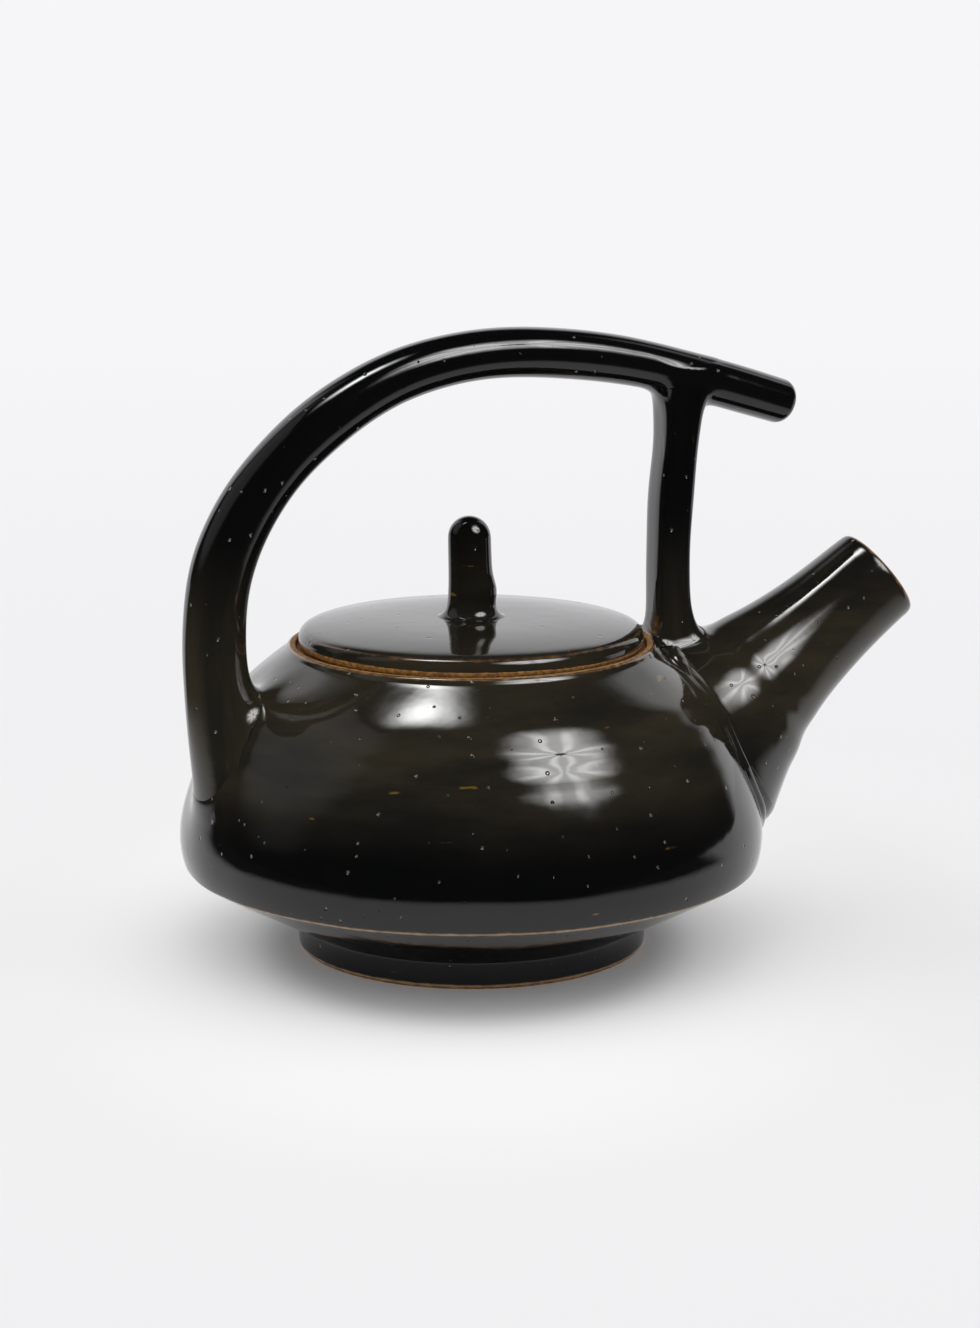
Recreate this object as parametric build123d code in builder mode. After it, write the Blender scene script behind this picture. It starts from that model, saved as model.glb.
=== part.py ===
from build123d import *
import math
import os

# Lidded stoneware pouring pot with an overhead branch handle.
#
# Millimetres.  The origin is on the pot's turning axis at the underside of the
# foot, +X runs towards the spout and +Z is up.  Every element that the potter
# makes by itself is one node, and it is cut along the face on which it is luted
# to its neighbour.

# Bowl, from the foot upwards
foot_radius = 45.4
foot_height = 7.0
foot_width = 8.0
foot_chamfer = 0.8
foot_taper = 0.4
carination_radius = 74.3
carination_height = 22.9
carination_slope = 0.35
belly_swell = 1.0
belly_rise = 6.6
waist_inset = 3.4
waist_rise = 15.0
shoulder_overhang = 13.9
shoulder_drop = 13.2
rim_radius = 47.3
rim_height = 79.2
rim_slope = 0.78
rim_width = 2.4
rim_round = 0.8
rim_lip = 1.2
wall = 4.6
belly_points = 7

# Lid seat inside the rim, and the lid
seat_depth = 1.7
throat_radius = 38.6
seat_gap = 0.25
lid_side_gap = 0.5
lid_edge = 5.4
lid_edge_round = 2.0
lid_dome = 2.6
lid_hollow = 2.6
flange_side_gap = 0.7
flange_depth = 9.0
flange_width = 3.8
flange_taper = 0.7
flange_round = 0.9

# Knob: a post that flares where it stands on the lid
knob_height = 25.9
knob_radius = 5.5
knob_shank_radius = 5.8
knob_flare_radius = 8.4
knob_flare_height = 4.5
knob_flare_slope = 0.6

# Spout: a flared horn turned about its own tilted axis
spout_overhang = 38.0
spout_lip_rise = 12.3
spout_tilt = 38.2
spout_lip_radius = 13.1
spout_neck_radius = 13.9
spout_neck_at = 16.0
spout_root_radius = 23.6
spout_root_at = 54.0
spout_base_radius = 29.0
spout_base_at = 64.0
spout_heel_radius = 22.0
spout_heel_at = 74.0
spout_wall = 3.2
spout_lip_round = 1.2
seam_width = 1.6
seam_height = 0.9
horn_seam_turn = 11.0
pour_hole_radius = 10.0

# Branch handle: an arched strap that stands in a plane turned a little about
# the strut, and that runs on past the strut as a stub.  The points of its back
# are (in front of the belly's back, below the arch's top), and those of its
# front are (in front of the strut, below the arch's top)
strut_gap = 6.7
handle_turn = 5.0
handle_rise = 74.0
handle_foot_inset = 10.1
handle_foot_rise = 2.5
handle_back_points = [(5.6, 77.2), (8.4, 48.2), (27.6, 20.7), (57.3, 3.6)]
handle_front_points = [(-42.0, 0.0), (0.5, 6.5), (32.7, 16.3)]
strap_thicknesses = [15.8, 12.8, 11.6]
strap_widths = [20.0, 18.0, 15.0]
strap_sections = 13
stub_round = 3.6

# Strut: a thinner strap from inside the arch down to the root of the spout.  Its
# upper rows hang below the arch's top and its lower rows stand on the rim
strut_drops = [7.2, 10.7, 15.2, 24.2, 36.2]
strut_rises = [25.8, 13.8, 5.8, -0.7, -9.2]
strut_thicknesses = [13.0, 12.0, 10.2, 9.0, 9.2, 9.4, 9.7, 10.4, 13.0, 20.0]
strut_widths = [12.0, 14.5, 16.0, 16.2, 15.4, 14.0, 12.2, 12.2, 14.5, 18.0]
strut_leans = [1.8, 1.8, 1.7, 1.2, 0.2, -0.4, -0.5, -0.2, 0.8, 2.5]
strut_round = 2.8


def write(part, name):
    """Label a finished piece and write its STEP file."""
    part.label = name
    export_step(part, f"parts/{name}.step")


def between(values, share):
    """Value at a share of the way along evenly spaced values, in straight steps."""
    place = share * (len(values) - 1)
    step = min(int(place), len(values) - 2)
    return values[step] + (values[step + 1] - values[step]) * (place - step)


os.makedirs("parts", exist_ok=True)

# %% Outer form of the bowl, and the hollow that its wall leaves
seat_height = rim_height - seat_depth
seat_radius = rim_radius - rim_width
belly_radius = carination_radius + belly_swell
belly_height = carination_height + belly_rise
waist_height = belly_height + waist_rise

with BuildLine() as belly_line:
    Spline(
        (carination_radius, carination_height),
        (belly_radius, belly_height),
        (belly_radius - waist_inset, waist_height),
        (rim_radius + shoulder_overhang, rim_height - shoulder_drop),
        (rim_radius, rim_height - rim_lip),
        tangents=[(carination_slope, 1), (-1, rim_slope)],
    )
belly = belly_line.line


def turned(grow):
    """Turn the bowl's outline, moved outwards by grow, about the pot's axis."""
    moved = []
    for step in range(belly_points):
        share = step / (belly_points - 1)
        along = belly % share
        moved.append(belly @ share + Vector(along.Y, -along.X) * grow)
    with BuildPart() as form:
        with BuildSketch(Plane.YZ):
            with BuildLine():
                side = Spline(*moved, tangents=[belly % 0, belly % 1])
                Polyline(
                    side @ 1,
                    ((side @ 1).X, rim_height + grow),
                    (0, rim_height + grow),
                    (0, foot_height - grow),
                    (foot_radius, foot_height - grow),
                    side @ 0,
                )
            make_face()
        revolve(axis=Axis.Z)
    return form.part


bowl_form = turned(0)

# %% Spout: the horn's outline is turned about the spout's own axis
tilt = math.radians(spout_tilt)
spout_lip = Vector(belly_radius + spout_overhang, 0, rim_height + spout_lip_rise)
spout_back = Vector(-math.cos(tilt), 0, -math.sin(tilt))
horn_side = Vector(0, 1, 0).rotate(Axis((0, 0, 0), spout_back), horn_seam_turn)
horn_plane = Plane(spout_lip, x_dir=horn_side, z_dir=horn_side.cross(spout_back))


def horn(grow, overrun):
    """Turn the horn's outline, grown by grow and begun overrun before the lip."""
    with BuildPart() as form:
        with BuildSketch(horn_plane):
            with BuildLine():
                neck = Line(
                    (spout_lip_radius + grow, -overrun),
                    (spout_neck_radius + grow, spout_neck_at),
                )
                flare = TangentArc(
                    neck @ 1, (spout_root_radius + grow, spout_root_at), tangent=neck % 1
                )
                root = TangentArc(
                    flare @ 1, (spout_base_radius + grow, spout_base_at), tangent=flare % 1
                )
                heel = TangentArc(
                    root @ 1, (spout_heel_radius + grow, spout_heel_at), tangent=(0, 1)
                )
                Polyline(heel @ 1, (0, spout_heel_at), (0, -overrun), neck @ 0)
            make_face()
        revolve(axis=Axis(spout_lip, spout_back))
    return form.part


with BuildPart() as spout_form:
    add(horn(seam_width, 0))
    add(turned(seam_height), mode=Mode.INTERSECT)
    add(horn(0, 0))

with BuildPart() as spout:
    add(spout_form.part)
    add(bowl_form, mode=Mode.SUBTRACT)
    add(horn(-spout_wall, 1), mode=Mode.SUBTRACT)
    lip_face = spout.faces().filter_by(GeomType.PLANE).sort_by_distance(spout_lip)[0]
    fillet(lip_face.edges(), spout_lip_round)
write(spout.part, "spout")

# %% Bowl: hollowed, with the throat, the lid seat and the pour hole cut
with BuildPart() as pot_body:
    add(bowl_form)
    add(turned(-wall), mode=Mode.SUBTRACT)
    with Locations((0, 0, rim_height)):
        Hole(radius=throat_radius, depth=2 * wall)
        Hole(radius=seat_radius, depth=seat_depth)
    rim_edges = pot_body.faces().sort_by(Axis.Z)[-1].edges()
    fillet(rim_edges, rim_round)
    with BuildSketch(Plane(spout_lip, x_dir=(0, 1, 0), z_dir=spout_back)):
        Circle(pour_hole_radius)
    extrude(amount=spout_heel_at + wall, mode=Mode.SUBTRACT)
write(pot_body.part, "pot_body")

# %% Foot: a turned ring under the bowl
with BuildPart() as foot_ring:
    with BuildSketch(Plane.XZ):
        Polygon(
            (foot_radius - foot_width, 0),
            (foot_radius - foot_taper, 0),
            (foot_radius, foot_height),
            (foot_radius - foot_width, foot_height),
            align=None,
        )
    revolve(axis=Axis.Z)
    outer_edge = foot_ring.edges().group_by(Axis.Z)[0].sort_by(SortBy.RADIUS)[-1]
    chamfer(outer_edge, foot_chamfer)
write(foot_ring.part, "foot_ring")

# %% Lid: a slightly domed disc, a flange that drops into the throat, a knob
lid_radius = seat_radius - lid_side_gap
lid_underside = seat_height + seat_gap
lid_top = lid_underside + lid_edge
flange_radius = throat_radius - flange_side_gap

with BuildPart() as lid_form:
    with BuildSketch(Plane.XZ):
        with BuildLine():
            Polyline(
                (0, lid_top + lid_dome),
                (0, lid_underside),
                (lid_radius, lid_underside),
                (lid_radius, lid_top),
            )
            TangentArc((0, lid_top + lid_dome), (lid_radius, lid_top), tangent=(1, 0))
        make_face()
    revolve(axis=Axis.Z)

with BuildPart() as lid_disc:
    add(lid_form.part)
    rings = lid_disc.edges().filter_by(lambda edge: edge.is_closed)
    fillet(rings.sort_by(Axis.Z)[-1], lid_edge_round)
    with Locations(Plane(origin=(0, 0, lid_underside), z_dir=(0, 0, -1))):
        Hole(radius=flange_radius - flange_width, depth=lid_hollow)
write(lid_disc.part, "lid_disc")

with BuildPart() as lid_flange:
    with BuildSketch(Plane.XZ):
        Polygon(
            (flange_radius - flange_width, lid_underside),
            (flange_radius, lid_underside),
            (flange_radius - flange_taper, lid_underside - flange_depth),
            (flange_radius - flange_width, lid_underside - flange_depth),
            align=None,
        )
    revolve(axis=Axis.Z)
    fillet(lid_flange.edges().group_by(Axis.Z)[0], flange_round)
write(lid_flange.part, "lid_flange")

knob_foot = lid_top + lid_dome
knob_top = knob_foot + knob_height
with BuildPart() as lid_knob:
    with BuildSketch(Plane.XZ):
        with BuildLine():
            flare = Spline(
                (knob_flare_radius, knob_foot - lid_dome),
                (knob_shank_radius, knob_foot + knob_flare_height),
                tangents=[(-knob_flare_slope, 1), (knob_radius - knob_shank_radius, knob_height)],
            )
            shank = Line(flare @ 1, (knob_radius, knob_top - knob_radius))
            crown = RadiusArc(shank @ 1, (0, knob_top), -knob_radius)
            Polyline(crown @ 1, (0, knob_foot - lid_dome), flare @ 0)
        make_face()
    revolve(axis=Axis.Z)
    add(lid_form.part, mode=Mode.SUBTRACT)
write(lid_knob.part, "lid_knob")

# %% Handle: an oval strap that thins from its foot to its stub
strut_distance = rim_radius + strut_gap
handle_back = -strut_distance - belly_radius
handle_top = rim_height + handle_rise
handle_points = [(handle_back + handle_foot_inset, waist_height + handle_foot_rise)]
handle_points += [(handle_back + inward, handle_top - below) for inward, below in handle_back_points]
handle_points += [(inward, handle_top - below) for inward, below in handle_front_points]
handle_plane = Plane(
    origin=(strut_distance, 0, 0),
    x_dir=Vector(1, 0, 0).rotate(Axis.Z, handle_turn),
    z_dir=Vector(0, -1, 0).rotate(Axis.Z, handle_turn),
)
with BuildLine(handle_plane) as handle_path:
    Spline(*handle_points)

centre_line = handle_path.line
with BuildPart() as strap:
    for index in range(strap_sections):
        share = index / (strap_sections - 1)
        section = Plane(centre_line @ share, x_dir=handle_plane.z_dir, z_dir=centre_line % share)
        with BuildSketch(section):
            Ellipse(between(strap_widths, share) / 2, between(strap_thicknesses, share) / 2)
    loft()
    stub_edge = strap.edges().sort_by_distance(centre_line @ 1)[0]
    fillet(stub_edge, stub_round)

with BuildPart() as handle_arch:
    add(strap.part)
    add(bowl_form, mode=Mode.SUBTRACT)
write(handle_arch.part, "handle_arch")

# %% Strut: flat sections that swell into the arch above and the spout below
strut_heights = [handle_top - drop for drop in strut_drops]
strut_heights += [rim_height + rise for rise in strut_rises]
with BuildPart() as handle_strut:
    rows = zip(strut_heights, strut_thicknesses, strut_widths, strut_leans)
    for height, thickness, width, lean in rows:
        with BuildSketch(Plane((strut_distance + lean, 0, height))):
            RectangleRounded(thickness, width, strut_round)
    loft()
    add(strap.part, mode=Mode.SUBTRACT)
    add(spout_form.part, mode=Mode.SUBTRACT)
    add(bowl_form, mode=Mode.SUBTRACT)
write(handle_strut.part, "handle_strut")
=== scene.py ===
# %% [markdown]
# # A lidded stoneware pouring pot
# The pot is thrown on a wheel in parts: a squat bowl on a turned foot, a flared spout and a
# lid.  A pulled strap makes the overhead handle, and a shorter strap props it up from the
# root of the spout.  All parts are luted together while the clay is leathery, and one dark
# iron glaze then runs over every joint.  The scene follows that order: each part is a surface
# worked out with numpy, and one rule lets the joined parts melt into each other.

# %% Load the frame
import math
import bpy
import numpy as np
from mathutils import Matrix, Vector


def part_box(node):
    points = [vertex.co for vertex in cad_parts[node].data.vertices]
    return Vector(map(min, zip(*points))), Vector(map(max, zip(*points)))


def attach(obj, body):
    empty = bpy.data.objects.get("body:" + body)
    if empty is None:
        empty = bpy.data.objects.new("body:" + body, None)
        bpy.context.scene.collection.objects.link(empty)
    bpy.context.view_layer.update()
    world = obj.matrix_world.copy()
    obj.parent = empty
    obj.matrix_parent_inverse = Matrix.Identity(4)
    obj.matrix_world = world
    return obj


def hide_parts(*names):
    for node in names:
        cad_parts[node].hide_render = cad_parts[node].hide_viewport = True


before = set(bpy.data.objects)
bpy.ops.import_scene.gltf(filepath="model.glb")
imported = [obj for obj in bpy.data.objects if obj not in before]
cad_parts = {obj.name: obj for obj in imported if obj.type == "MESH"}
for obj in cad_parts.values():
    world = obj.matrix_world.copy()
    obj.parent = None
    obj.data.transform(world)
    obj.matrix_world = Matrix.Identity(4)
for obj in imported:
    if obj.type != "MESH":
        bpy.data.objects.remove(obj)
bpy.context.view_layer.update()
scene = bpy.context.scene
scene.view_settings.view_transform = "Standard"
mm = 0.001

# %% [markdown]
# ## Sizes
# The frame already knows how big every part is, so most sizes are read from its boxes.  What a
# box can't tell, such as how the belly swells between the foot and the rim, is written here
# once, in millimetres as a potter would measure it.

# %% Sizes of the bowl and the lid
foot_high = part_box("foot_ring")[1]
bowl_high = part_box("pot_body")[1]
disc_low, disc_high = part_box("lid_disc")
knob_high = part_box("lid_knob")[1]
flange_low, flange_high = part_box("lid_flange")

foot_radius = foot_high.x
foot_height = foot_high.z
foot_width = 8.0 * mm
rim_height = bowl_high.z
rim_radius = 47.3 * mm
rim_lip = 1.2 * mm
seat_radius = 44.9 * mm
seat_depth = 1.7 * mm
throat_radius = 38.6 * mm
wall = 4.6 * mm
edge = (74.3 * mm, 22.9 * mm)
belly = (bowl_high.x, 29.5 * mm)
waist = (71.9 * mm, 44.5 * mm)
shoulder = (61.2 * mm, 66.0 * mm)
print("bowl", round(2 * bowl_high.x / mm, 1), "mm across,", round(rim_height / mm, 1), "mm high")

# %% Sizes of the spout, the handle and its strut
spout_lip = np.array([113.3, 0.0, 91.5]) * mm
spout_tilt = math.radians(38.2)
spout_back = np.array([-math.cos(spout_tilt), 0.0, -math.sin(spout_tilt)])
spout_side = np.array([0.0, 1.0, 0.0])
spout_up = np.cross(spout_back, spout_side)
spout_wall = 3.2 * mm
pour_hole = 10.0 * mm

handle_turn = math.radians(5.0)
handle_root = np.array([54.0, 0.0, 0.0]) * mm
handle_out = np.array([math.cos(handle_turn), math.sin(handle_turn), 0.0])
handle_side = np.array([math.sin(handle_turn), -math.cos(handle_turn), 0.0])

# %% [markdown]
# ## Lines
# Every part starts as a line: half of a pot's outline, or the path of a strap.  Five helpers
# are enough.  `spline` is the potter's rib, a smooth line through a few points.  `heading` is
# which way a line goes, and `read` looks it up between its points.  `even` shares points out
# along it and gives bends more of them, and `melt` rounds corners as glaze does.

# %% Helpers for lines
def spline(points, count, start=None, end=None):
    """Smooth line through points: a cubic over each gap, with slopes that let its bend run on.

    The slopes solve one linear system, in which every inner row says that the second
    derivatives on both sides of a point are equal."""
    knots = np.array(points, float)
    gaps = np.linalg.norm(np.diff(knots, axis=0), axis=1)
    last = len(knots) - 1
    system = np.zeros((last + 1, last + 1))
    wanted = np.zeros_like(knots)
    for i in range(1, last):
        system[i, i - 1:i + 2] = gaps[i], 2 * (gaps[i - 1] + gaps[i]), gaps[i - 1]
        before = gaps[i] * (knots[i] - knots[i - 1]) / gaps[i - 1]
        after = gaps[i - 1] * (knots[i + 1] - knots[i]) / gaps[i]
        wanted[i] = 3 * (before + after)
    for row, other, slope, step in ((0, 1, start, 0), (last, last - 1, end, last - 1)):
        if slope is None:
            system[row, row], system[row, other] = 2, 1
            wanted[row] = 3 * (knots[step + 1] - knots[step]) / gaps[step]
        else:
            system[row, row] = 1
            wanted[row] = np.array(slope) / np.linalg.norm(slope)
    slopes = np.linalg.solve(system, wanted)
    places = np.concatenate(([0.0], np.cumsum(gaps)))
    at = np.linspace(0, places[-1], count)
    gap = np.clip(np.searchsorted(places, at, side="right") - 1, 0, last - 1)
    size = gaps[gap][:, None]
    t = (at[:, None] - places[gap][:, None]) / size
    ends = (1 + 2 * t) * (1 - t) ** 2 * knots[gap] + t * t * (3 - 2 * t) * knots[gap + 1]
    lifts = t * (1 - t) ** 2 * slopes[gap] - t * t * (1 - t) * slopes[gap + 1]
    return ends + size * lifts


def heading(line):
    """Direction of a line at each of its points, one unit long."""
    way = np.gradient(line, axis=0)
    return way / np.linalg.norm(way, axis=1)[:, None]


def read(line, place, at):
    """Rows of a line at other places, straight between its own rows."""
    return np.stack([np.interp(at, place, line[:, k]) for k in range(line.shape[1])], axis=1)


def even(line, count, turn=0.0):
    """count points along a line, spaced evenly in its length plus turn metres for each radian."""
    steps = np.diff(line, axis=0)
    length = np.linalg.norm(steps, axis=1)
    way = steps / np.maximum(length, 1e-12)[:, None]
    angle = np.arccos(np.clip(np.sum(way[1:] * way[:-1], axis=1), -1, 1))
    weight = length + turn * (np.append(angle, 0) + np.append(0, angle)) / 2
    place = np.concatenate(([0.0], np.cumsum(weight)))
    return read(line, place, np.linspace(0, place[-1], count))


def melt(line, size, closed=False):
    """A line with its corners rounded: each point becomes the mean of its neighbours.

    The weights are a bell curve of width size along the line.  An open line that starts or
    ends on the axis goes on as its own mirror image there, so it meets the axis squarely."""
    step = size / 5
    count = int(np.linalg.norm(np.diff(line, axis=0), axis=1).sum() / step)
    fine = even(line, count)
    reach = 15
    if closed:
        padded = np.concatenate((fine[-reach - 1:-1], fine, fine[1:reach + 1]))
    else:
        mirror = np.array([-1.0, 1.0])
        padded = np.concatenate((fine[reach:0:-1] * mirror, fine, fine[-2:-reach - 2:-1] * mirror))
    weights = np.exp(-0.5 * (np.arange(-reach, reach + 1) * step / size) ** 2)
    weights /= weights.sum()
    return np.stack([np.convolve(padded[:, k], weights, "valid") for k in (0, 1)], axis=1)


# %% [markdown]
# ## Depths
# A depth function says how far a point is outside a form: positive outside, zero on its skin
# and negative within.  One function for each form is all that the joints need, because the
# smaller of two depths is the depth of both forms together, and a softened smaller makes a
# fillet, as a wet finger does along a joint.

# %% Depth of the bowl
belly_line = spline([edge, belly, waist, shoulder, (rim_radius, rim_height - rim_lip)], 160,
                    start=(0.35, 1), end=(-1, 0.78))
rise = np.array([-1.0, 0.78]) * 20 * mm
outline = np.concatenate(([(foot_radius, foot_height)], belly_line, [belly_line[-1] + rise]))
outline_slope = np.gradient(outline[:, 0], outline[:, 1])


def bowl_depth(points):
    """Distance from the axis less the outline's radius at that height, times its slant.

    The form ends flat at the rim, as if the lid's seat were filled."""
    radius = np.hypot(points[:, 0], points[:, 1])
    here = np.interp(points[:, 2], outline[:, 1], outline[:, 0])
    slope = np.interp(points[:, 2], outline[:, 1], outline_slope)
    return np.maximum((radius - here) / np.sqrt(1 + slope**2), points[:, 2] - rim_height)


# %% Depth of the spout
horn_knots = [(-1.0, 13.05), (0, 13.1), (16, 13.9), (35.5, 16.85), (54, 23.6), (64.5, 29.2)]
horn_heel = [(64.5, 29.2), (67.5, 29.3), (71, 26.6), (74, 21.0)]
horn_line = np.concatenate((spline(horn_knots, 120), spline(horn_heel, 30)[1:])) * mm
horn_slope = np.gradient(horn_line[:, 1], horn_line[:, 0])


def horn_depth(points):
    """Distance from the spout's own axis less its radius there, cut off at both ends."""
    from_lip = points - spout_lip
    along = from_lip @ spout_back
    radius = np.linalg.norm(from_lip - along[:, None] * spout_back, axis=1)
    here = np.interp(along, horn_line[:, 0], horn_line[:, 1])
    slope = np.interp(along, horn_line[:, 0], horn_slope)
    side = (radius - here) / np.sqrt(1 + slope**2)
    return np.maximum(np.maximum(side, along - horn_line[-1, 0]), -along)


# %% Depth of the handle's strap
strap_knots = [(-111.5, 33.0), (-119.4, 50.0), (-123.7, 76.0), (-120.9, 105.0), (-101.7, 132.5),
               (-72.0, 149.6), (-42.0, 153.2), (0.5, 146.7), (32.7, 136.9)]
strap_line = even(spline(np.array(strap_knots) * mm, 900), 420)
strap_way = heading(strap_line)
strap_share = np.linspace(0, 1, len(strap_line))
strap_thick = np.interp(strap_share, [0, 0.06, 0.3, 0.55, 1], [11.0, 15.8, 15.4, 12.9, 11.8]) * mm / 2
strap_wide = np.interp(strap_share, [0, 0.06, 0.3, 0.5, 1], [13.0, 17.0, 15.6, 15.4, 15.0]) * mm / 2
strap_square = 2.15


def oval_depth(across, up, half_across, half_up, square):
    """Distance from an oval's centre less the oval's own radius in that direction.

    The oval is |across/a|^n + |up/b|^n = 1: an ellipse for n = 2, and squarer above."""
    distance = np.hypot(across, up)
    share = (np.abs(across / half_across) ** square + np.abs(up / half_up) ** square) ** (1 / square)
    return distance - distance / np.maximum(share, 1e-6)


def strap_depth(points):
    """Depth in the oval section at the nearest point of the strap's path."""
    flat = np.stack(((points - handle_root) @ handle_out, points[:, 2]), axis=1)
    last = len(strap_line) - 1
    rough = ((flat[:, None] - strap_line[None, ::10]) ** 2).sum(axis=2).argmin(axis=1) * 10
    around = np.clip(rough[:, None] + np.arange(-10, 11), 0, last)
    nearest = ((flat[:, None] - strap_line[around]) ** 2).sum(axis=2).argmin(axis=1)
    near = around[np.arange(len(flat)), nearest]
    off = flat - strap_line[near]
    way = strap_way[near]
    up = off[:, 1] * way[:, 0] - off[:, 0] * way[:, 1]
    across = (points - handle_root) @ handle_side
    side = oval_depth(across, up, strap_wide[near], strap_thick[near], strap_square)
    beyond = (off * way).sum(axis=1) * np.where(near == last, 1, np.where(near == 0, -1, np.nan))
    return np.fmax(side, beyond)


# %% Depth of the strut
strut_rows = np.array([
    (66.0, 22.0, 20.0, 57.5),
    (72.0, 18.0, 17.0, 56.4),
    (78.5, 13.0, 15.0, 54.9),
    (85.0, 10.2, 13.6, 53.9),
    (93.0, 9.5, 13.6, 53.5),
    (105.0, 9.3, 14.3, 53.6),
    (117.0, 9.5, 15.0, 54.2),
    (129.0, 9.5, 15.6, 55.2),
    (136.0, 10.4, 16.2, 55.6),
    (141.0, 11.4, 15.4, 55.8),
    (146.0, 12.0, 11.5, 55.8),
]) * mm
strut_line = spline(strut_rows, 200)
strut_square = 3.6


def strut_depth(points):
    """Depth in the strut's level section at the point's own height."""
    height = points[:, 2]
    thick, wide, centre = read(strut_line, strut_line[:, 0], height).T[1:]
    side = oval_depth(points[:, 0] - centre, points[:, 1], thick / 2, wide / 2, strut_square)
    beyond = np.maximum(height - strut_line[-1, 0], strut_line[0, 0] - height)
    return np.maximum(side, beyond)


# %% [markdown]
# ## Joints
# `union` joins two depths with a fillet of a given reach.  `settle` then moves the points of a
# part outwards until the soft union reads at each of them what the plain union read before, so
# away from the joints nothing moves at all.  No hand is perfectly steady either, so a sum of
# long waves leaves every part a little uneven.

# %% Join the forms
def union(a, b, reach):
    """Smaller of two depths, less a cubic fillet where they differ by under reach."""
    near = np.clip(reach - np.abs(a - b), 0, None) / reach
    return np.minimum(a, b) - near**3 * reach / 6


seam_reach = 1.4 * mm
strap_reach = 18 * mm
strut_reach = 7.5 * mm
depths = (bowl_depth, horn_depth, strap_depth, strut_depth)


def pot_depth(points):
    """Soft union of the bowl, the spout, the strap and the strut."""
    vessel = union(bowl_depth(points), horn_depth(points), seam_reach)
    with_strap = union(vessel, strap_depth(points), strap_reach)
    return union(with_strap, strut_depth(points), strut_reach)


def climb(depth, points, step=0.04 * mm):
    """Gradient of a depth function by central differences along the three axes."""
    moves = np.eye(3) * step
    return np.stack([(depth(points + m) - depth(points - m)) / (2 * step) for m in moves], axis=1)


wave_count = 9
dice = np.random.default_rng(7)
wave_ways = dice.normal(size=(wave_count, 3))
wave_ways /= np.linalg.norm(wave_ways, axis=1)[:, None]
wave_sizes = dice.uniform(16, 60, wave_count) * mm
wave_starts = dice.uniform(0, 2 * math.pi, wave_count)


def unevenness(points):
    """Sum of nine plane waves in fixed random directions, about one unit high."""
    turns = points @ wave_ways.T * 2 * math.pi / wave_sizes + wave_starts
    return np.sin(turns).sum(axis=1) / math.sqrt(wave_count)


def jitter(points, hand):
    """Move points along the climb of the soft union by up to about hand."""
    normal = climb(pot_depth, points)
    normal /= np.maximum(np.linalg.norm(normal, axis=1), 1e-6)[:, None]
    return points + normal * (hand * unevenness(points))[:, None]


soft_reach = 20 * mm


def out_of_hollow(points, steps=1):
    """Bring points that lie deep under the bowl's skin back to the middle of its wall."""
    for _ in range(steps):
        sunk = np.minimum(bowl_depth(points) + wall / 2, 0)
        points = points - climb(bowl_depth, points) * sunk[:, None]
    return points


def settle(grid, own, hand):
    """Move points out along the climb of the soft union, and leave them a little uneven.

    Where a part runs into another it dives slowly at first, so that both skins share a strip
    along the joint.  A point that ends up deep under the bowl's skin is brought back to the
    middle of the wall, so nothing pokes into the hollow."""
    points = grid.reshape(-1, 3)
    other = np.min([depth(points) for depth in depths if depth is not own], axis=0)
    sunk = np.maximum(own(points) - other, 0)
    plain = own(points) - np.minimum(sunk, 0.03 * sunk + 0.1 * sunk**2 / mm)
    active = other < soft_reach
    moved = points.copy()
    for _ in range(4):
        here = moved[active]
        slope = climb(pot_depth, here)
        miss = pot_depth(here) - plain[active]
        moved[active] = here - slope * (miss / np.maximum((slope**2).sum(axis=1), 0.2))[:, None]
    moved = jitter(moved, hand)
    if own is not bowl_depth:
        moved = out_of_hollow(moved, steps=3)
    return moved.reshape(grid.shape)


# %% [markdown]
# ## From grids to meshes
# Each skin is a grid of points: rows along a line, columns around it.  `skin` joins neighbours
# with four-sided faces, closes the ends with a point on the axis or joins the last row to the
# first, and stores two numbers at each point for the glaze: how thin it ran, and where the clay
# was wiped bare.

# %% Helpers for surfaces
def lathe(line, columns, crowd=0.0):
    """Turn a line of (radius, height) about the upright axis.

    crowd brings the columns closer together on the spout's side and opposite it."""
    turn = np.linspace(0, 2 * math.pi, columns, endpoint=False)
    turn = turn - crowd * np.sin(2 * turn) / 2
    around = np.stack((np.cos(turn), np.sin(turn)), axis=1)
    flat = line[:, None, 0, None] * around[None]
    height = np.broadcast_to(line[:, 1, None, None], flat.shape[:2] + (1,))
    return np.concatenate((flat, height), axis=2)


def plain_mesh(name, points, faces):
    """Object made of points and of the faces between them."""
    mesh = bpy.data.meshes.new(name)
    mesh.from_pydata(points, [], faces)
    made = bpy.data.objects.new(name, mesh)
    scene.collection.objects.link(made)
    return made


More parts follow.
